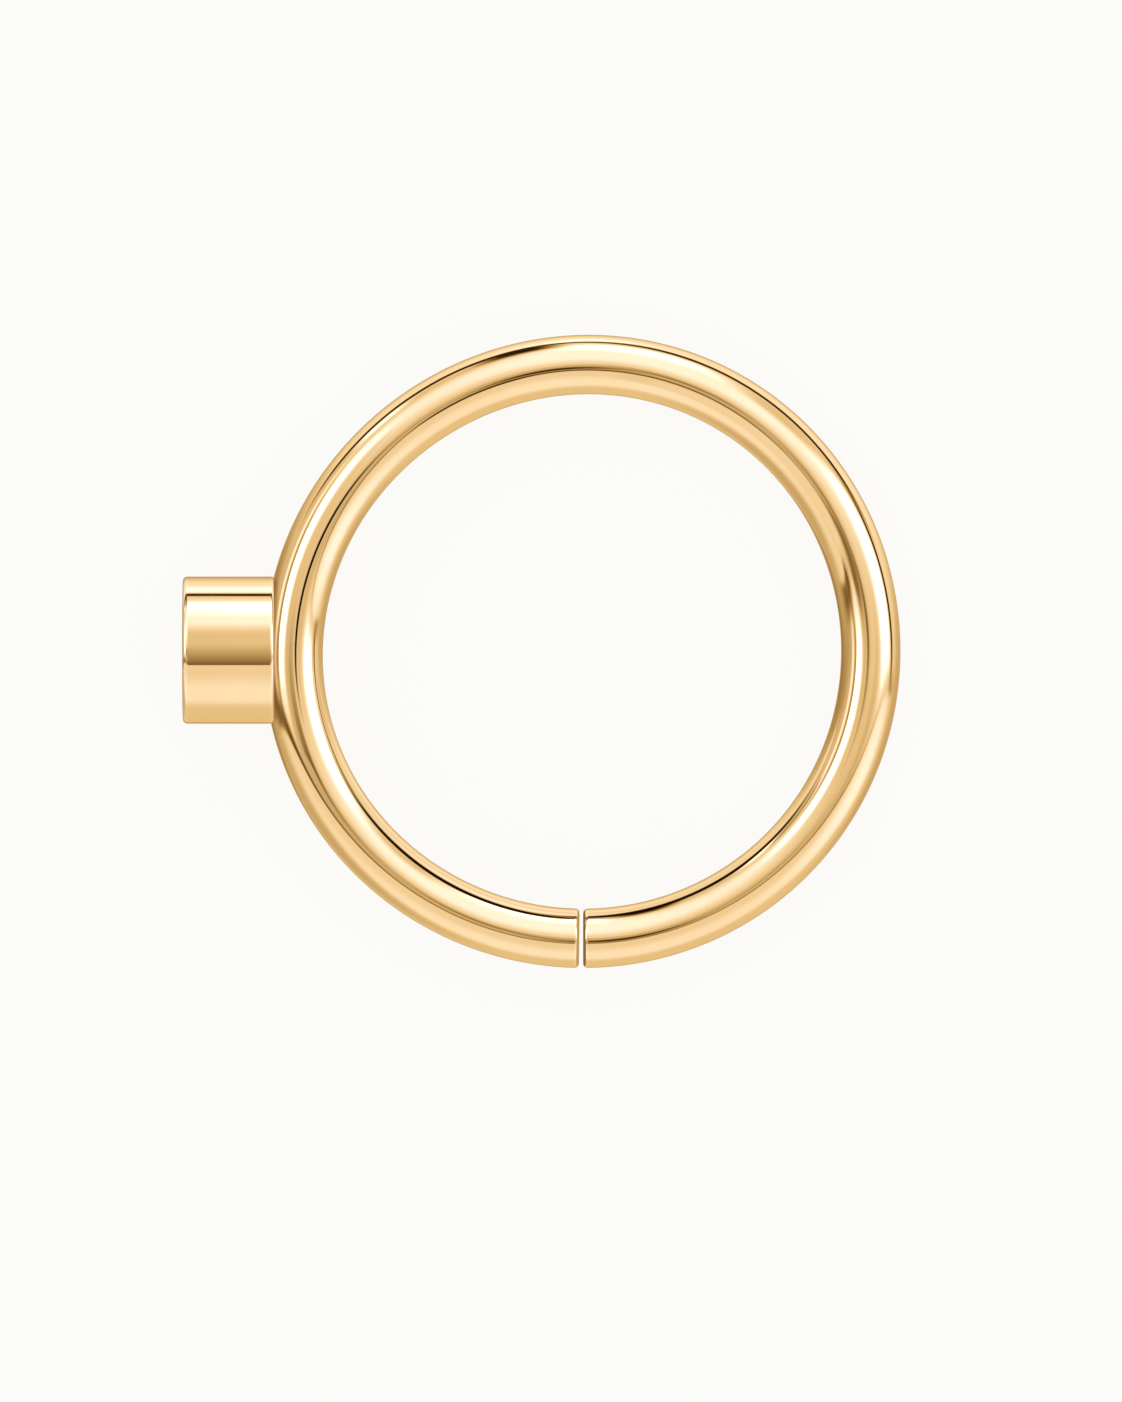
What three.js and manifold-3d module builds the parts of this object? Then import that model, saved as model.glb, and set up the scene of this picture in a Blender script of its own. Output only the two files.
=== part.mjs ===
// A rook hoop: a small ring of round gold wire for the rook piercing of an ear, with a short plain barrel
// soldered to the outside of the ring. The wire is cut through once, and twists open there to go in.
//
// Millimetres, +Z up. The hoop lies on its side, as it rests by itself on a surface at z = 0. The barrel is
// thicker than the wire, so only the barrel's inner rim and the far side of the ring touch the surface, and
// the whole piece leans a few degrees. The barrel points along -X and the cut faces -Y. The origin is on the
// surface, under the middle of the piece.

import * as THREE from 'three';
import { mergeVertices } from 'three/addons/utils/BufferGeometryUtils.js';
import Module from 'manifold-3d';

// Ring
const innerDiameter = 8.0;
const wireDiameter = 0.92;
const cutDegrees = 269.65; // where the cut is, turning from +X towards +Y
const cutGap = 0.06;
const wireEndRounding = 0.07;

// Bent by hand: how far the middle of the wire strays from a true circle, and where it strays outwards
const outOfRound = [
  { lobes: 2, amount: 0.026, outwardAtDegrees: 27 },
  { lobes: 3, amount: 0.017, outwardAtDegrees: -51 },
];

// Barrel
const barrelDiameter = 2.28;
const barrelInnerEnd = 4.786; // from the middle of the ring, so that the end sits a little way into the wire
const barrelOuterEnd = 6.2;
const barrelOffCentre = 0.028; // towards +Y
const innerRimRounding = 0.04;
const outerRimRounding = 0.07;

// Facets
const stepsRoundRing = 120;
const sidesOfWire = 20;
const sidesOfBarrel = 48;
const stepsInRounding = 3;

const wireRadius = wireDiameter / 2;
const ringRadius = innerDiameter / 2 + wireRadius; // to the middle of the wire
const barrelRadius = barrelDiameter / 2;

const wasm = await Module();
wasm.setup();

// The outline of half a round rod, from the axis at y = 0 to the axis at y = length, with rounded ends.
function rodOutline(radius, length, firstRounding, lastRounding, steps) {
  const outline = [new THREE.Vector2(0, 0)];
  for (let i = 0; i <= stepsInRounding; i++) {
    const turn = (i / stepsInRounding) * (Math.PI / 2);
    outline.push(new THREE.Vector2(
      radius - firstRounding * (1 - Math.sin(turn)),
      firstRounding * (1 - Math.cos(turn)),
    ));
  }
  const straight = length - firstRounding - lastRounding;
  for (let i = 1; i < steps; i++) {
    outline.push(new THREE.Vector2(radius, firstRounding + (straight * i) / steps));
  }
  for (let i = 0; i <= stepsInRounding; i++) {
    const turn = (i / stepsInRounding) * (Math.PI / 2);
    outline.push(new THREE.Vector2(
      radius - lastRounding * (1 - Math.cos(turn)),
      length - lastRounding * (1 - Math.sin(turn)),
    ));
  }
  outline.push(new THREE.Vector2(0, length));
  return outline;
}

// How far the middle of the wire is from the middle of the ring at this angle.
function ringRadiusAt(angle) {
  return outOfRound.reduce(
    (radius, { lobes, amount, outwardAtDegrees }) =>
      radius + amount * Math.cos(lobes * (angle - THREE.MathUtils.degToRad(outwardAtDegrees))),
    ringRadius,
  );
}

// A straight rod along Y, bent round the Z axis into a ring that is open at the cut.
function ringGeometry() {
  const length = 2 * Math.PI * ringRadius - cutGap;
  const outline = rodOutline(wireRadius, length, wireEndRounding, wireEndRounding, stepsRoundRing);
  const geometry = new THREE.LatheGeometry(outline, sidesOfWire);
  const firstAngle = THREE.MathUtils.degToRad(cutDegrees) + cutGap / 2 / ringRadius;
  const place = geometry.getAttribute('position');
  for (let i = 0; i < place.count; i++) {
    const angle = firstAngle + place.getY(i) / ringRadius;
    const reach = ringRadiusAt(angle) + place.getX(i);
    place.setXYZ(i, reach * Math.cos(angle), reach * Math.sin(angle), place.getZ(i));
  }
  return geometry;
}

// The barrel, with its axis along the ring's radius and its outer end at -X.
function barrelGeometry() {
  const length = barrelOuterEnd - barrelInnerEnd;
  const outline = rodOutline(barrelRadius, length, innerRimRounding, outerRimRounding, 1);
  return new THREE.LatheGeometry(outline, sidesOfBarrel)
    .rotateZ(Math.PI / 2)
    .translate(-barrelInnerEnd, barrelOffCentre, 0);
}

function solidFrom(geometry) {
  geometry.deleteAttribute('normal');
  geometry.deleteAttribute('uv');
  const merged = mergeVertices(geometry);
  return new wasm.Manifold(new wasm.Mesh({
    numProp: 3,
    vertProperties: merged.getAttribute('position').array,
    triVerts: Uint32Array.from(merged.index.array),
  }));
}

function geometryFrom(solid) {
  const { vertProperties, triVerts } = solid.getMesh();
  const geometry = new THREE.BufferGeometry();
  geometry.setAttribute('position', new THREE.BufferAttribute(vertProperties, 3));
  geometry.setIndex(new THREE.BufferAttribute(triVerts, 1));
  return geometry.toNonIndexed();
}

// How far the piece leans on a flat surface: the angle at which the barrel's inner rim and the far side of
// the ring are equally low.
function restingLean() {
  const rimDown = barrelRadius - innerRimRounding;
  const span = barrelInnerEnd + innerRimRounding + ringRadiusAt(0);
  const drop = wireRadius - innerRimRounding;
  return Math.acos(drop / Math.hypot(rimDown, span)) - Math.atan2(span, rimDown);
}

const soldered = solidFrom(ringGeometry()).add(solidFrom(barrelGeometry()));
const hoopGeometry = geometryFrom(soldered);
hoopGeometry.computeVertexNormals();

const polishedGold = new THREE.MeshStandardMaterial({
  name: 'polished_gold',
  color: new THREE.Color('#e8c382'),
  roughness: 0.12,
  metalness: 1,
});

const hoop = new THREE.Mesh(hoopGeometry, polishedGold);
hoop.name = 'hoop';
hoop.rotation.y = restingLean();

const box = new THREE.Box3().setFromObject(hoop, true);
const middle = box.getCenter(new THREE.Vector3());
hoop.position.set(-middle.x, -middle.y, -box.min.z);

const group = new THREE.Group();
group.add(hoop);

export default group;
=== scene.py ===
import math

import bmesh
import bpy
from mathutils import Matrix, Vector


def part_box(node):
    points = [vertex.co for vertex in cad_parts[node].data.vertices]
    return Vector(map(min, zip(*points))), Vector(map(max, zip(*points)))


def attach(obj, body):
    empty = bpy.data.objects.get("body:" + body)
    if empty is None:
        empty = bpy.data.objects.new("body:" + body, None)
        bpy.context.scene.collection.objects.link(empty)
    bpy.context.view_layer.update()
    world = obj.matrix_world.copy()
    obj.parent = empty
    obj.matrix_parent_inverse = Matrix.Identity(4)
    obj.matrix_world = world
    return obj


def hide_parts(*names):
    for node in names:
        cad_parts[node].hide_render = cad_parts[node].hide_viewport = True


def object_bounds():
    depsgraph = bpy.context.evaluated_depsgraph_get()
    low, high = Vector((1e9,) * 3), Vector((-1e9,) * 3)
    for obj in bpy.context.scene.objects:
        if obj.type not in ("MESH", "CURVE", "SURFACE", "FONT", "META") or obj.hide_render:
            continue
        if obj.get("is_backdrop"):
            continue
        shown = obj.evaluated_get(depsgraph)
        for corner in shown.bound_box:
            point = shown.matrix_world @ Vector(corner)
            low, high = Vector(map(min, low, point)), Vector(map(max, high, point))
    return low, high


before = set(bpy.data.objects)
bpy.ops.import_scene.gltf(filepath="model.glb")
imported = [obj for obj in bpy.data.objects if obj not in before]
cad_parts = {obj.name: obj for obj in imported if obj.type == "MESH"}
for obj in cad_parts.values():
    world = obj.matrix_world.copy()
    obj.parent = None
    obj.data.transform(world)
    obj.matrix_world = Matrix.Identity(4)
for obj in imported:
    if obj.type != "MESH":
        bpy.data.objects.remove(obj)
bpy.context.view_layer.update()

# A gold rook hoop: a ring of round wire, cut through once, with a short plain barrel soldered outside it.
# Sizes in the dictionaries are millimetres and degrees, in the hoop's own frame: the ring lies in its X and
# Y, the barrel points along -X and the cut faces -Y.

mm = 0.001

wire = {
    "insideDiameter": 8.0,
    "thickness": 0.92,
    "cutAt": 269.65,  # turning from +X towards +Y
    "cutGap": 0.06,
    "endRounding": 0.07,
    "bentOut": [  # how far it strays from a true circle, and where it strays outwards
        {"lobes": 2, "amount": 0.026, "towards": 27},
        {"lobes": 3, "amount": 0.017, "towards": -51},
    ],
    "sides": 64,
    "steps": 360,
    "roundingSteps": 5,
    "flatInset": 0.01,  # the flat border inside each rounded rim
}

barrel = {
    "diameter": 2.28,
    "innerEnd": 4.786,  # from the middle of the ring
    "outerEnd": 6.2,
    "offCentre": 0.028,
    "innerRounding": 0.04,
    "outerRounding": 0.07,
    "sides": 128,
    "roundingSteps": 6,
    "flatInset": 0.02,
}

ringRadius = (wire["insideDiameter"] + wire["thickness"]) / 2
barrelMiddle = -(barrel["innerEnd"] + barrel["outerEnd"]) / 2  # on X, as the barrel points along -X
weldWithin = 0.00001  # vertices nearer to each other than this are one


def strayAt(angle):
    # how far the ring's bends put it out from a true circle here
    return sum(
        bend["amount"] * math.cos(bend["lobes"] * (angle - math.radians(bend["towards"])))
        for bend in wire["bentOut"]
    )


def restingLean():
    # the barrel's inner rim and the far side of the ring are equally low
    rimDown = barrel["diameter"] / 2 - barrel["innerRounding"]
    span = barrel["innerEnd"] + barrel["innerRounding"] + ringRadius + strayAt(0)
    drop = wire["thickness"] / 2 - barrel["innerRounding"]
    return math.acos(drop / math.hypot(rimDown, span)) - math.atan2(span, rimDown)


lean = restingLean()


def markRubbed(bm, verts, amount):
    rubbed = bm.verts.layers.float["rubbed"]
    for vert in verts:
        vert[rubbed] = amount


def roundOff(bm, edges, amount, steps):
    # rounded metal is handled metal, so it is marked as rubbed
    rounded = bmesh.ops.bevel(
        bm, geom=edges, offset=amount, offset_type="OFFSET", segments=steps, profile=0.5,
        affect="EDGES", material=-1, clamp_overlap=True,
    )
    markRubbed(bm, {vert for face in rounded["faces"] for vert in face.verts}, 1.0)


def endFaces(bm, sides):
    # the flat ends are the only faces with as many corners as the piece has sides
    return [face for face in bm.faces if len(face.verts) == sides]


def keepFlat(bm, sides, amount):
    # a narrow border inside each flat end, so that it shades flat next to its rounded rim
    bmesh.ops.inset_individual(bm, faces=endFaces(bm, sides), thickness=amount, use_even_offset=True)
    markRubbed(bm, [vert for face in endFaces(bm, sides) for vert in face.verts], 0.0)


def meshFrom(bm, name):
    bmesh.ops.remove_doubles(bm, verts=bm.verts, dist=weldWithin)
    bmesh.ops.recalc_face_normals(bm, faces=bm.faces)
    # faces come in another order each run, so they are put in the order of their vertices
    bm.verts.index_update()
    for rank, face in enumerate(sorted(bm.faces, key=lambda face: [vert.index for vert in face.verts])):
        face.index = rank
    bm.faces.sort()
    for face in bm.faces:
        face.smooth = True
    mesh = bpy.data.meshes.new(name)
    bm.to_mesh(mesh)
    bm.free()
    return mesh


def makeWire():
    halfGap = wire["cutGap"] / 2 / ringRadius
    firstAngle = math.radians(wire["cutAt"]) + halfGap
    bm = bmesh.new()
    bm.verts.layers.float.new("rubbed")
    bmesh.ops.create_circle(bm, cap_ends=False, segments=wire["sides"], radius=wire["thickness"] / 2)
    bmesh.ops.rotate(bm, verts=bm.verts, cent=(0, 0, 0), matrix=Matrix.Rotation(math.pi / 2, 3, "X"))
    bmesh.ops.translate(bm, verts=bm.verts, vec=(ringRadius, 0, 0))
    bmesh.ops.rotate(bm, verts=bm.verts, cent=(0, 0, 0), matrix=Matrix.Rotation(firstAngle, 3, "Z"))
    bmesh.ops.spin(
        bm, geom=bm.verts[:] + bm.edges[:], cent=(0, 0, 0), axis=(0, 0, 1),
        angle=2 * math.pi - 2 * halfGap, steps=wire["steps"], use_merge=False,
    )
    bmesh.ops.holes_fill(bm, edges=bm.edges, sides=0)
    rims = [edge for face in endFaces(bm, wire["sides"]) for edge in face.edges]
    roundOff(bm, rims, wire["endRounding"], wire["roundingSteps"])
    keepFlat(bm, wire["sides"], wire["flatInset"])
    for vert in bm.verts:
        outwards = Vector((vert.co.x, vert.co.y, 0)).normalized()
        vert.co += outwards * strayAt(math.atan2(vert.co.y, vert.co.x))
    return meshFrom(bm, "wire")


def makeBarrel():
    length = barrel["outerEnd"] - barrel["innerEnd"]
    radius = barrel["diameter"] / 2
    bm = bmesh.new()
    bm.verts.layers.float.new("rubbed")
    bmesh.ops.create_cone(
        bm, cap_ends=True, cap_tris=False, segments=barrel["sides"],
        radius1=radius, radius2=radius, depth=length,
    )
    bmesh.ops.rotate(bm, verts=bm.verts, cent=(0, 0, 0), matrix=Matrix.Rotation(math.pi / 2, 3, "Y"))
    bmesh.ops.translate(bm, verts=bm.verts, vec=(barrelMiddle, barrel["offCentre"], 0))
    ends = sorted(endFaces(bm, barrel["sides"]), key=lambda face: face.calc_center_median().x)
    outerRim, innerRim = (list(face.edges) for face in ends)
    roundOff(bm, outerRim, barrel["outerRounding"], barrel["roundingSteps"])
    roundOff(bm, innerRim, barrel["innerRounding"], barrel["roundingSteps"])
    keepFlat(bm, barrel["sides"], barrel["flatInset"])
    # a ring of edges beside each rim, where the rubbed metal stops
    for end, rounding, inwards in (("outerEnd", "outerRounding", 1), ("innerEnd", "innerRounding", -1)):
        besideRim = -barrel[end] + inwards * (barrel[rounding] + barrel["flatInset"])
        cut = bmesh.ops.bisect_plane(
            bm, geom=bm.verts[:] + bm.edges[:] + bm.faces[:], plane_co=(besideRim, 0, 0), plane_no=(1, 0, 0),
        )
        markRubbed(bm, [part for part in cut["geom_cut"] if isinstance(part, bmesh.types.BMVert)], 0.0)
    return meshFrom(bm, "barrel")


def cornersOf(meshes, matrix):
    points = [matrix @ vert.co for mesh in meshes for vert in mesh.vertices]
    low = Vector([min(point[axis] for point in points) for axis in range(3)])
    high = Vector([max(point[axis] for point in points) for axis in range(3)])
    return low, high


print("making the wire and the barrel")
meshes = {"wire": makeWire(), "barrel": makeBarrel()}

# the hoop's own frame: leaned, and scaled from millimetres so that its box lies just inside the solid's box
low, high = cornersOf(meshes.values(), Matrix.Rotation(lean, 4, "Y"))
boxLow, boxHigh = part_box("hoop")
justInside = 0.9999
fit = justInside * min((boxHigh[axis] - boxLow[axis]) / (high[axis] - low[axis]) for axis in range(3))
boxFoot = Vector(((boxLow.x + boxHigh.x) / 2, (boxLow.y + boxHigh.y) / 2, boxLow.z))
foot = Vector(((low.x + high.x) / 2, (low.y + high.y) / 2, low.z))
hoopFrame = Matrix.Translation(boxFoot - foot * fit) @ Matrix.Rotation(lean, 4, "Y")
print("fit", round(fit / mm, 5), "ring centre", [round(c / mm, 4) for c in hoopFrame.translation])


def wired(tree, kind, values, **settings):
    # a node with these settings, its inputs set or linked in order, and None left alone
    node = tree.nodes.new(kind)
    for name, value in settings.items():
        setattr(node, name, value)
    for socket, value in zip([s for s in node.inputs if s.enabled], values):
        if isinstance(value, bpy.types.NodeSocket):
            tree.links.new(value, socket)
        elif value is not None:
            socket.default_value = value
    return next(s for s in node.outputs if s.enabled)


def worked(tree, operation, *values):
    # a sum done on these numbers
    return wired(tree, "ShaderNodeMath", values, operation=operation)


def split(tree, vector):
    # its X, Y and Z outputs
    parts = tree.nodes.new("ShaderNodeSeparateXYZ")
    tree.links.new(vector, parts.inputs[0])
    return parts.outputs


gold = {
    "colour": (0.93, 0.67, 0.33),
    "deepColour": (0.90, 0.62, 0.28),  # where the alloy looks a little richer
    "rubbedColour": (0.95, 0.71, 0.38),  # on the handled rims
    "edgeColour": (0.97, 0.85, 0.62),  # where it is seen nearly edge-on
    # painted shade and painted reflection of the barrel's end, on the wire where it meets the barrel
    "jointShadeColour": (0.62, 0.36, 0.13),
    "jointShadeReach": (0.02, 0.08),  # fades out over this stretch from the barrel's inner end
    "jointShadeEnds": 0.1,  # and over this much at each side of the barrel
    "patchSize": 1.6,
    "patchDetail": 2.0,
    "grain": 0.5,  # how rough each noise is
    "unevenness": (0.6, 1.4),  # of the patches and lines together, from the smoothest to the roughest metal
    "roughness": (0.03, 0.065),
    "rubbedRoughness": 0.11,
    "waveSize": 1.3,
    "waveDetail": 0.0,
    "waveHeight": 0.0016,
    "lineWidth": 0.035,
    "lineLength": 1.2,
    "lineDetail": 1.0,
    "lineHeight": 0.00004,
}


def roundTheRing(tree, place):
    # along the wire, across it, and through it
    x, y, z = split(tree, place)
    turn = worked(tree, "ARCTAN2", y, x)
    along = worked(tree, "MULTIPLY", turn, ringRadius)
    flat = wired(tree, "ShaderNodeCombineXYZ", [x, y, 0.0])
    across = wired(tree, "ShaderNodeVectorMath", [flat], operation="LENGTH")
    return along, across, z


def roundTheBarrel(tree, place):
    # round the barrel, along it, and through it
    x, y, z = split(tree, place)
    turn = worked(tree, "ARCTAN2", y, z)
    along = worked(tree, "MULTIPLY", turn, barrel["diameter"] / 2)
    flat = wired(tree, "ShaderNodeCombineXYZ", [0.0, y, z])
    across = wired(tree, "ShaderNodeVectorMath", [flat], operation="LENGTH")
    return along, x, across


def jointShadeLine(tree, place):
    # 1 on the wire right beside the barrel's inner end, and 0 elsewhere: where the painted shade and painted
    # reflection of the barrel's end go
    x, y, _ = split(tree, place)
    halfWay = barrel["diameter"] / 2
    fromEnd = worked(tree, "ADD", x, barrel["innerEnd"])
    beside = wired(tree, "ShaderNodeMapRange", [fromEnd, *gold["jointShadeReach"], 1.0, 0.0])
    aside = worked(tree, "SUBTRACT", y, barrel["offCentre"])
    aside = worked(tree, "ABSOLUTE", aside)
    within = wired(tree, "ShaderNodeMapRange", [aside, halfWay - gold["jointShadeEnds"], halfWay, 1.0, 0.0])
    return worked(tree, "MULTIPLY", beside, within)


def noiseOf(tree, place, size, detail):
    return wired(tree, "ShaderNodeTexNoise", [place, 1 / size, detail, gold["grain"]], noise_dimensions="3D")


def makeGold(name, polishedAlong, withJointShade):
    # patchy alloy, rubbed rims and fine polishing lines, and on the wire a painted shade line beside the
    # barrel, on places measured in the hoop's own millimetres
    material = bpy.data.materials.new(name)
    material.use_nodes = True
    tree = material.node_tree
    shader = tree.nodes["Principled BSDF"]
    onObject = tree.nodes.new("ShaderNodeTexCoord").outputs["Object"]
    place = wired(
        tree, "ShaderNodeMapping", [onObject, hoopFrame.translation, (0, lean, 0), (fit, fit, fit)],
        vector_type="TEXTURE",
    )
    patches = noiseOf(tree, place, gold["patchSize"], gold["patchDetail"])
    along, across, through = polishedAlong(tree, place)
    along = worked(tree, "MULTIPLY", along, gold["lineWidth"] / gold["lineLength"])
    drawn = wired(tree, "ShaderNodeCombineXYZ", [along, across, through])
    lines = noiseOf(tree, drawn, gold["lineWidth"], gold["lineDetail"])
    rubbed = tree.nodes.new("ShaderNodeAttribute")
    rubbed.attribute_name = "rubbed"

    colour = wired(
        tree, "ShaderNodeMix", [patches, (*gold["colour"], 1), (*gold["deepColour"], 1)], data_type="RGBA",
    )
    colour = wired(
        tree, "ShaderNodeMix", [rubbed.outputs["Fac"], colour, (*gold["rubbedColour"], 1)], data_type="RGBA",
    )
    # on the wire only: a painted dark line beside the barrel, standing for shade and the barrel end's
    # reflection
    if withJointShade:
        mask = jointShadeLine(tree, place)
        colour = wired(tree, "ShaderNodeMix", [mask, colour, (*gold["jointShadeColour"], 1)], data_type="RGBA")
    uneven = worked(tree, "ADD", patches, lines)
    roughness = wired(tree, "ShaderNodeMapRange", [uneven, *gold["unevenness"], *gold["roughness"]])
    roughness = wired(
        tree, "ShaderNodeMix", [rubbed.outputs["Fac"], roughness, gold["rubbedRoughness"]], data_type="FLOAT",
    )
    waves = noiseOf(tree, place, gold["waveSize"], gold["waveDetail"])
    waved = wired(tree, "ShaderNodeBump", [1.0, gold["waveHeight"] * mm, None, waves])
    lined = wired(tree, "ShaderNodeBump", [1.0, gold["lineHeight"] * mm, None, lines, waved])

    tree.links.new(colour, shader.inputs["Base Color"])
    tree.links.new(roughness, shader.inputs["Roughness"])
    tree.links.new(lined, shader.inputs["Normal"])
    shader.inputs["Metallic"].default_value = 1.0
    shader.inputs["Specular Tint"].default_value = (*gold["edgeColour"], 1)
    return material


print("polishing the gold")
finishes = {
    "wire": makeGold("drawnGold", roundTheRing, withJointShade=True),
    "barrel": makeGold("turnedGold", roundTheBarrel, withJointShade=False),
}
for name, mesh in meshes.items():
    mesh.transform(hoopFrame @ Matrix.Scale(fit, 4))
    mesh.materials.append(finishes[name])
    piece = bpy.data.objects.new(name, mesh)
    bpy.context.scene.collection.objects.link(piece)
    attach(piece, "root")
    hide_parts("hoop")
    piece.visible_glossy = False  # the gold mirrors the studio, and not itself

# The studio: a pale floor, and soft lights and dark cards round it, in the hoop's own frame

studio = {
    "background": (0.978, 0.974, 0.957),  # the floor's colour too
    "shine": [  # the light that each tone stands for: shade is warm, and a lamp burns out to white
        (0.0, (0.01, 0.005, 0.002)),
        (0.1, (0.2, 0.12, 0.05)),
        (0.3, (0.5, 0.4, 0.25)),
        (0.6, (0.9, 0.84, 0.75)),
        (0.8, (1.1, 1.15, 1.4)),
        (0.92, (1.4, 1.4, 2.1)),
        (1.0, (3.4, 3.4, 3.6)),
    ],
    "brightest": 3.6,
    "wallTone": 0.46,  # where there is no card
    # each card's middle and half sizes, in degrees round the hoop and up from its plane; the later lie over
    # the earlier, and a squareness of 2 is an ellipse
    "columns": ("name", "turn", "rise", "halfWidth", "halfHeight", "squareness", "softness", "tone"),
    "cards": [
        ("table light", 64, -26, 98, 30, 2.5, 18, 0.8),
        ("table shade", 194, -42, 40, 40, 2, 22, 0.22),
        ("table glow", 300, -25, 60, 34, 2, 22, 0.6),
        ("ceiling", 75, 62, 110, 48, 3, 24, 0.64),
        ("overhead glow", 74, 50, 64, 28, 2.5, 14, 0.92),
        ("table lamp", 90, -20, 14, 10, 3, 8, 0.95),
        ("between boxes", 50, 18, 10, 18, 2, 6, 0.58),
        ("top box", 80, 18, 19, 14, 4, 6, 0.98),
        ("right box", 14, 30.5, 24, 21.5, 3.5, 6, 1.0),
        ("left box", 161, 44, 32, 15, 3, 6, 1.0),
        ("left strip", 163, 17, 24, 5, 4, 2.5, 0.9),
        ("box strut", 170, 28, 22, 4, 3, 2, 0.3),
        ("small lamp", 131, 6, 6, 11, 3, 3, 0.95),
        ("gap", 55, -7.6, 30, 6, 6, 2, 0.01),
        ("gap slit", 90, -7.3, 18, 3.2, 6, 1, 0.02),
        ("gap end", 8, 1.2, 25, 4.5, 3, 1.5, 0.01),
        ("gap left", 124, -7, 26, 6, 3, 2, 0.01),
        ("flag", 103, 3, 7, 12, 3, 4, 0.01),
        ("shadow side", 272, 66, 80, 9, 2, 8, 0.4),
        ("panel frame", 271, 0, 84, 70.5, 2.8, 3, 0.06),
        ("panel", 273, 0, 79, 68, 2.8, 1.2, 0.66),
        ("panel glow", 276, 18, 62, 23, 2, 14, 0.8),
        ("panel lamp", 335, 20, 19, 25, 2, 14, 0.92),
        ("panel foot", 290, -56, 80, 50, 4, 12, 0.58),
        ("foot shade left", 212, -24, 32, 26, 2, 16, 0.42),
        ("foot shade right", 345, -46, 26, 24, 2, 14, 0.42),
        ("under shade", 0, -90, 400, 22, 8, 6, 0.34),
        ("rail right", 278, 77.2, 14, 4.2, 2, 3, 0.01),
        ("rail left", 250, 82, 14, 3, 2, 2, 0.2),
        ("rail slant", 310, 79.5, 14, 2, 2, 1.5, 0.3),
        ("ceiling hook", 192, 80, 24, 4, 2, 4, 0.06),
    ],
}


def cardMask(tree, turn, rise, card):
    # 1 inside the card and 0 outside it, with a soft edge
    aside = worked(tree, "SUBTRACT", turn, card["turn"])
    aside = worked(tree, "WRAP", aside, 180, -180)
    place = wired(tree, "ShaderNodeCombineXYZ", [aside, rise, 0.0])
    halfSize = (card["halfWidth"], card["halfHeight"], 1)
    place = wired(
        tree, "ShaderNodeMapping", [place, (0, card["rise"], 0), None, halfSize], vector_type="TEXTURE",
    )
    place = wired(tree, "ShaderNodeVectorMath", [place], operation="ABSOLUTE")
    place = wired(tree, "ShaderNodeVectorMath", [place, (card["squareness"],) * 3], operation="POWER")
    reach = wired(tree, "ShaderNodeVectorMath", [place, (1, 1, 0)], operation="DOT_PRODUCT")
    reach = worked(tree, "POWER", reach, 1 / card["squareness"])
    soft = card["softness"] / min(card["halfWidth"], card["halfHeight"])
    return wired(
        tree, "ShaderNodeMapRange", [reach, 1 + soft, 1 - soft, 0.0, 1.0], interpolation_type="SMOOTHSTEP"
    )


def layCards(tree, turn, rise, cards, tone):
    # the tone that the cards leave over the one behind them, and each card's mask
    masks = []
    for row in cards:
        card = dict(zip(studio["columns"], row))
        mask = cardMask(tree, turn, rise, card)
        tone = wired(tree, "ShaderNodeMix", [mask, tone, card["tone"]], data_type="FLOAT")
        masks.append(mask)
    return tone, masks


def shine(tree, tone):
    # the light's colour, as a share of the brightest
    ramp = tree.nodes.new("ShaderNodeValToRGB")
    stops = ramp.color_ramp.elements
    while len(stops) < len(studio["shine"]):
        stops.new(0.5)  # and is moved to its place below
    for stop, (position, colour) in zip(stops, studio["shine"]):
        stop.position = position
        stop.color = (*(c / studio["brightest"] for c in colour), 1)
    tree.links.new(tone, ramp.inputs[0])
    return ramp.outputs[0]


def makeWorld():
    # only the gold's reflections look at the studio's cards; all else sees the plain pale background
    world = bpy.data.worlds.new("studio")
    bpy.context.scene.world = world
    world.use_nodes = True
    world.cycles.sampling_method = "NONE"  # an even background needs no importance sampling
    tree = world.node_tree
    tree.nodes.clear()
    direction = tree.nodes.new("ShaderNodeTexCoord").outputs["Generated"]
    direction = wired(tree, "ShaderNodeMapping", [direction, None, (0, -lean, 0)], vector_type="POINT")
    x, y, z = split(tree, direction)
    turn = worked(tree, "ARCTAN2", y, x)
    turn = worked(tree, "DEGREES", turn)
    rise = worked(tree, "ARCSINE", z)
    rise = worked(tree, "DEGREES", rise)
    tone, _ = layCards(tree, turn, rise, studio["cards"], studio["wallTone"])
    lit = wired(tree, "ShaderNodeBackground", [shine(tree, tone), studio["brightest"]])
    plain = wired(tree, "ShaderNodeBackground", [(*studio["background"], 1), 1.0])
    mirrored = tree.nodes.new("ShaderNodeLightPath").outputs["Is Glossy Ray"]
    mixed = wired(tree, "ShaderNodeMixShader", [mirrored, plain, lit])
    output = tree.nodes.new("ShaderNodeOutputWorld")
    tree.links.new(mixed, output.inputs["Surface"])


# Flags stand close to the hoop, where each part of it mirrors them at another angle. Their cards' heights are
# in millimetres, and each flag but the stubs is clear from farther off than it says.

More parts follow.
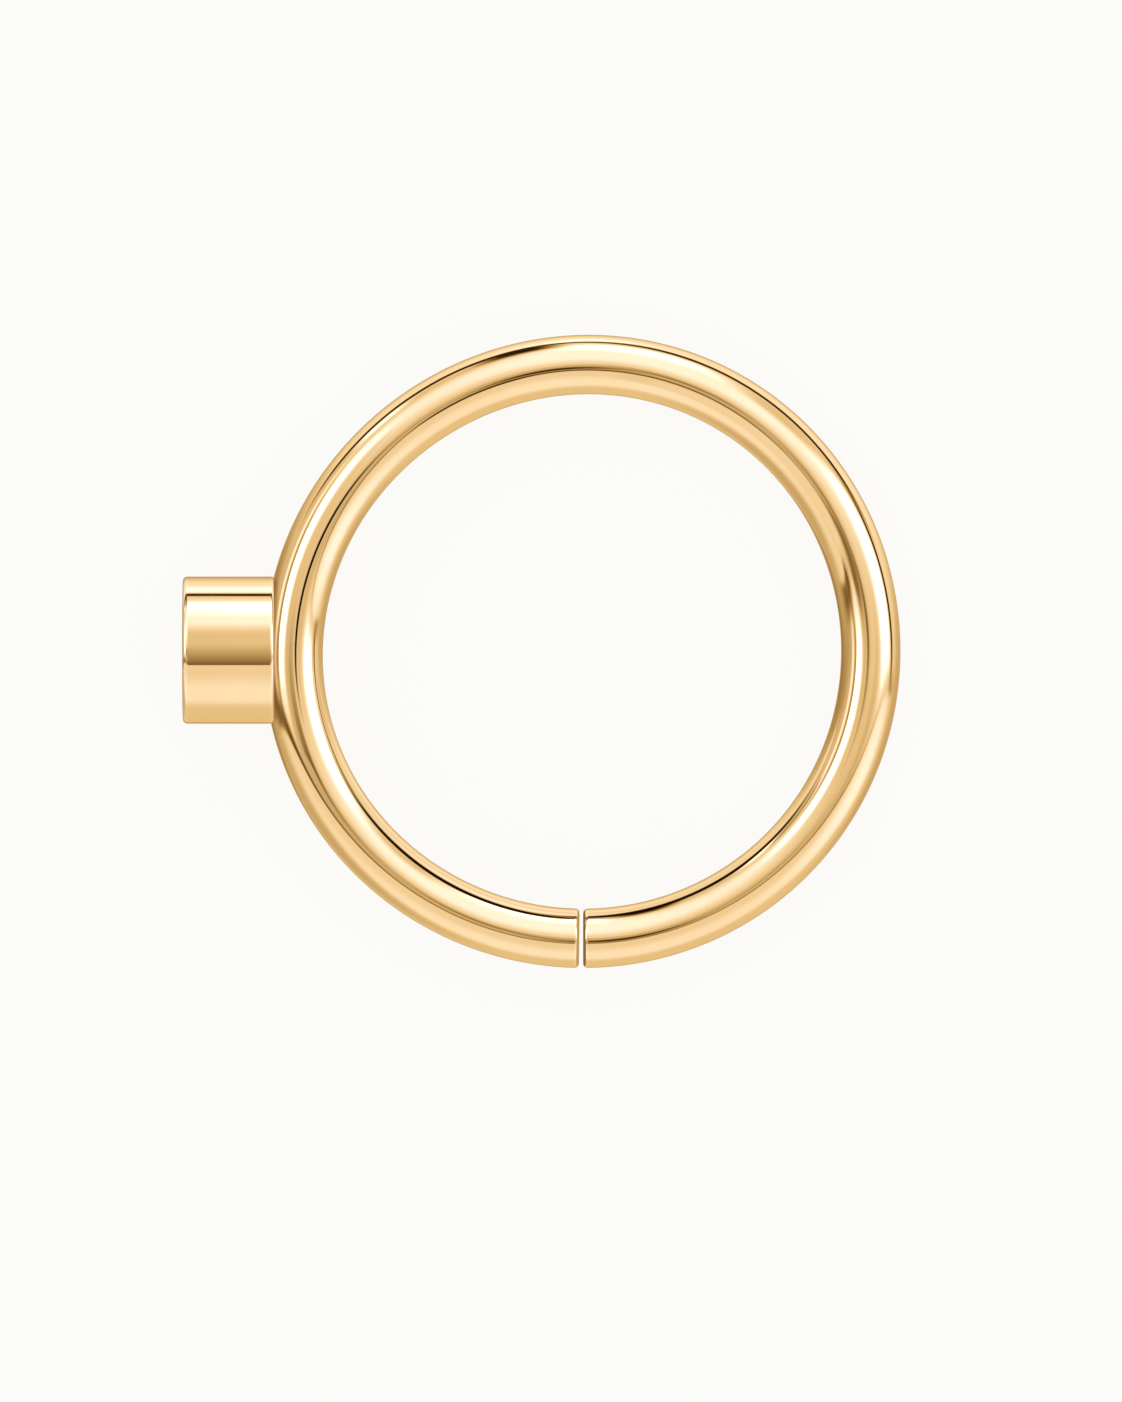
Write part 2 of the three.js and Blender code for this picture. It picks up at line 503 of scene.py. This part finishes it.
flags = {
    "stubs": {  # bent round inside the ring, with heights up from its middle
        "radius": 1.5,
        "low": -1.4,
        "high": 1.5,
        "edgeTone": 0.0,  # that its cards' soft edges fade to
        "cards": [
            ("glow stub", 270, -0.4, 78, 0.8, 2.5, 0.1, 0.7),
            ("glow middle", 250, -0.3, 26, 0.35, 2, 0.15, 0.85),
            ("glow end", 196, 0.58, 18, 0.25, 2.5, 0.1, 0.7),
            ("left stub", 240, 0.66, 34, 0.4, 2.5, 0.1, 0.0),
            ("right stub", 296, 0.26, 33, 0.38, 2.5, 0.1, 0.0),
            ("right hook", 323, 1.05, 9, 0.3, 2, 0.1, 0.35),
        ],
    },
    "overhead": {  # lies flat over the ring, with distances from the ring's axis for heights
        "height": 6.0,
        "near": 2.8,
        "far": 4.4,
        "seenFrom": 7.0,
        "edgeTone": 0.0,
        "cards": [("rail end", 163, 3.5, 27, 0.45, 2.5, 0.15, 0.0)],
    },
    "innerOverhead": {  # the same, but lower, for the wire's inner half
        "height": 3.0,
        "near": 0.05,
        "far": 4.2,
        "seenFrom": 5.0,
        "edgeTone": 0.5,
        "cards": [
            ("corner shade", 21, 3.15, 14, 0.8, 2, 0.4, 0.15),
            ("panel corner", 48, 1.85, 30, 1.4, 3, 0.3, 0.69),
            ("inner shadow", 84, 3.36, 44, 0.17, 3, 0.08, 0.1),
            ("shadow end", 113, 3.29, 15, 0.2, 3, 0.07, 0.03),
        ],
    },
    "cutCard": {  # stands in the cut, a little proud of the wire
        "reach": 0.06,
        "seenFrom": 0.3,
        "sides": 48,
        "tones": (0.14, 0.33),  # of its two faces
    },
    "shade": {  # lies over the barrel and reaches past it, most of all on the side away from the cut
        "height": 6.0,
        "longer": 0.4,  # than the barrel is
        "near": -2.35,
        "tanFrom": 1.0,  # its tones run from its near edge to here
        "far": 5.6,
        "tones": (0.1, 0.58),
        "fade": (5.2, 7.0),  # the distances over which it clears
    },
}
spinSteps = 96  # round each spun flag


def placeFlag(name, bm):
    # staged where only the gold's reflections see it, with an empty material to fill in
    flag = bpy.data.objects.new(name, meshFrom(bm, name))
    flag.matrix_world = hoopFrame @ Matrix.Scale(mm, 4)
    flag.visible_camera = flag.visible_diffuse = flag.visible_shadow = False
    bpy.context.scene.collection.objects.link(flag)
    flag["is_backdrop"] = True
    material = bpy.data.materials.new(name + "Card")
    material.use_nodes = True
    material.node_tree.nodes.clear()
    flag.data.materials.append(material)
    return material.node_tree


def lightUp(tree, tone, cleared):
    # glows in this tone, and is clear where cleared is 1
    lit = wired(tree, "ShaderNodeEmission", [shine(tree, tone), studio["brightest"]])
    clear = tree.nodes.new("ShaderNodeBsdfTransparent").outputs[0]
    mixed = wired(tree, "ShaderNodeMixShader", [cleared, lit, clear])
    output = tree.nodes.new("ShaderNodeOutputMaterial")
    tree.links.new(mixed, output.inputs["Surface"])


def beyond(tree, seenFrom):
    # 1 when the card is seen from farther off than this
    length = tree.nodes.new("ShaderNodeLightPath").outputs["Ray Length"]
    return worked(tree, "GREATER_THAN", length, seenFrom * mm)


def spinCard(name, ends):
    # a band spun round the ring's axis, with how far round it a point lies, and where
    bm = bmesh.new()
    bm.edges.new([bmesh.ops.create_vert(bm, co=co)["vert"][0] for co in ends])
    bmesh.ops.spin(
        bm, geom=bm.verts[:] + bm.edges[:], cent=(0, 0, 0), axis=(0, 0, 1),
        angle=2 * math.pi, steps=spinSteps, use_merge=True,
    )
    tree = placeFlag(name, bm)
    place = tree.nodes.new("ShaderNodeTexCoord").outputs["Object"]
    x, y, _ = split(tree, place)
    turn = worked(tree, "ARCTAN2", y, x)
    return tree, worked(tree, "DEGREES", turn), place


def bareOf(tree, masks):
    # 1 where no card covers the flag
    cover = 0.0
    for mask in masks:
        cover = worked(tree, "MAXIMUM", mask, cover)
    return worked(tree, "SUBTRACT", 1.0, cover)


def makeStubs():
    # stands inside the ring, and is seen only from outside it
    stubs = flags["stubs"]
    tree, turn, place = spinCard("stubs", [(stubs["radius"], 0, stubs[end]) for end in ("low", "high")])
    _, _, z = split(tree, place)
    tone, masks = layCards(tree, turn, z, stubs["cards"], stubs["edgeTone"])
    fromBehind = tree.nodes.new("ShaderNodeNewGeometry").outputs["Backfacing"]
    lightUp(tree, tone, worked(tree, "MAXIMUM", fromBehind, bareOf(tree, masks)))


def makeOverhead(name):
    # a flat ring of cards over the hoop
    over = flags[name]
    tree, turn, place = spinCard(name, [(over[end], 0, over["height"]) for end in ("near", "far")])
    x, y, _ = split(tree, place)
    flat = wired(tree, "ShaderNodeCombineXYZ", [x, y, 0.0])
    fromAxis = wired(tree, "ShaderNodeVectorMath", [flat], operation="LENGTH")
    tone, masks = layCards(tree, turn, fromAxis, over["cards"], over["edgeTone"])
    fromAfar = beyond(tree, over["seenFrom"])
    lightUp(tree, tone, worked(tree, "MAXIMUM", fromAfar, bareOf(tree, masks)))


def makeCutCard():
    # a dark sheet in the cut, seen only by the wire's reflections, that puts painted shade on the wire's
    # rounded rims beside the cut
    card = flags["cutCard"]
    radius = wire["thickness"] / 2 + card["reach"]
    bm = bmesh.new()
    bmesh.ops.create_circle(bm, cap_ends=True, segments=card["sides"], radius=radius)
    bmesh.ops.rotate(bm, verts=bm.verts, cent=(0, 0, 0), matrix=Matrix.Rotation(math.pi / 2, 3, "X"))
    bmesh.ops.translate(bm, verts=bm.verts, vec=(ringRadius, 0, 0))
    turned = Matrix.Rotation(math.radians(wire["cutAt"]), 3, "Z")
    bmesh.ops.rotate(bm, verts=bm.verts, cent=(0, 0, 0), matrix=turned)
    tree = placeFlag("cutCard", bm)
    fromBehind = tree.nodes.new("ShaderNodeNewGeometry").outputs["Backfacing"]
    tone = wired(tree, "ShaderNodeMix", [fromBehind, *card["tones"]], data_type="FLOAT")
    lightUp(tree, tone, beyond(tree, card["seenFrom"]))


def makeShade():
    # keeps the overhead glow off the barrel, and fades out with distance
    shade = flags["shade"]
    bm = bmesh.new()
    bmesh.ops.create_grid(bm, x_segments=1, y_segments=1, size=0.5)
    size = (barrel["outerEnd"] - barrel["innerEnd"] + shade["longer"], shade["far"] - shade["near"], 1)
    bmesh.ops.scale(bm, verts=bm.verts, vec=size)
    middle = (barrelMiddle, (shade["near"] + shade["far"]) / 2, shade["height"])
    bmesh.ops.translate(bm, verts=bm.verts, vec=middle)
    tree = placeFlag("shade", bm)
    _, y, _ = split(tree, tree.nodes.new("ShaderNodeTexCoord").outputs["Object"])
    length = tree.nodes.new("ShaderNodeLightPath").outputs["Ray Length"]
    fadeFrom, fadeTo = (distance * mm for distance in shade["fade"])
    fade = wired(
        tree, "ShaderNodeMapRange", [length, fadeFrom, fadeTo, 0.0, 1.0], interpolation_type="SMOOTHSTEP",
    )
    tone = wired(tree, "ShaderNodeMapRange", [y, shade["near"], shade["tanFrom"], *shade["tones"]])
    lightUp(tree, tone, fade)


# metres, and how much of the floor's light comes from outside it
floorLook = {"halfSize": 1.5, "shadowed": 0.08}


def makeFloor():
    # mostly lit from inside, so that the hoop leaves only a faint shadow on it
    bm = bmesh.new()
    bmesh.ops.create_grid(bm, x_segments=1, y_segments=1, size=floorLook["halfSize"])
    floor = bpy.data.objects.new("floor", meshFrom(bm, "floor"))
    material = bpy.data.materials.new("paleFloor")
    material.use_nodes = True
    shader = material.node_tree.nodes["Principled BSDF"]
    shader.inputs["Base Color"].default_value = (*[floorLook["shadowed"]] * 3, 1)
    shader.inputs["Specular IOR Level"].default_value = 0.0
    shader.inputs["Roughness"].default_value = 1.0
    shader.inputs["Emission Color"].default_value = (*studio["background"], 1)
    shader.inputs["Emission Strength"].default_value = 1 - floorLook["shadowed"]
    floor.data.materials.append(material)
    floor.visible_glossy = False  # the gold mirrors the studio's cards instead
    bpy.context.scene.collection.objects.link(floor)
    floor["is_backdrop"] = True


# tall is the height of what the frame holds, and the near and far clips are metres
lens = {"distance": 600, "tall": 21.72, "aimX": -0.34, "aimY": -0.76, "nearClip": 0.01, "farClip": 3.0}


def makeCamera():
    # straight down the ring's own axis
    data = bpy.data.cameras.new("camera")
    data.lens = data.sensor_width * lens["distance"] / lens["tall"]
    data.clip_start = lens["nearClip"]
    data.clip_end = lens["farClip"]
    camera = bpy.data.objects.new("camera", data)
    bpy.context.scene.collection.objects.link(camera)
    camera.location = hoopFrame @ (Vector((lens["aimX"], lens["aimY"], lens["distance"])) * mm)
    camera.rotation_euler = (0, lean, 0)
    bpy.context.scene.camera = camera


print("lighting it")
makeWorld()
makeStubs()
for name in ("overhead", "innerOverhead"):
    makeOverhead(name)
makeCutCard()
makeShade()
makeFloor()
makeCamera()
bpy.context.scene.view_settings.view_transform = "Standard"
bpy.context.scene.view_settings.look = "None"

low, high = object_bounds()
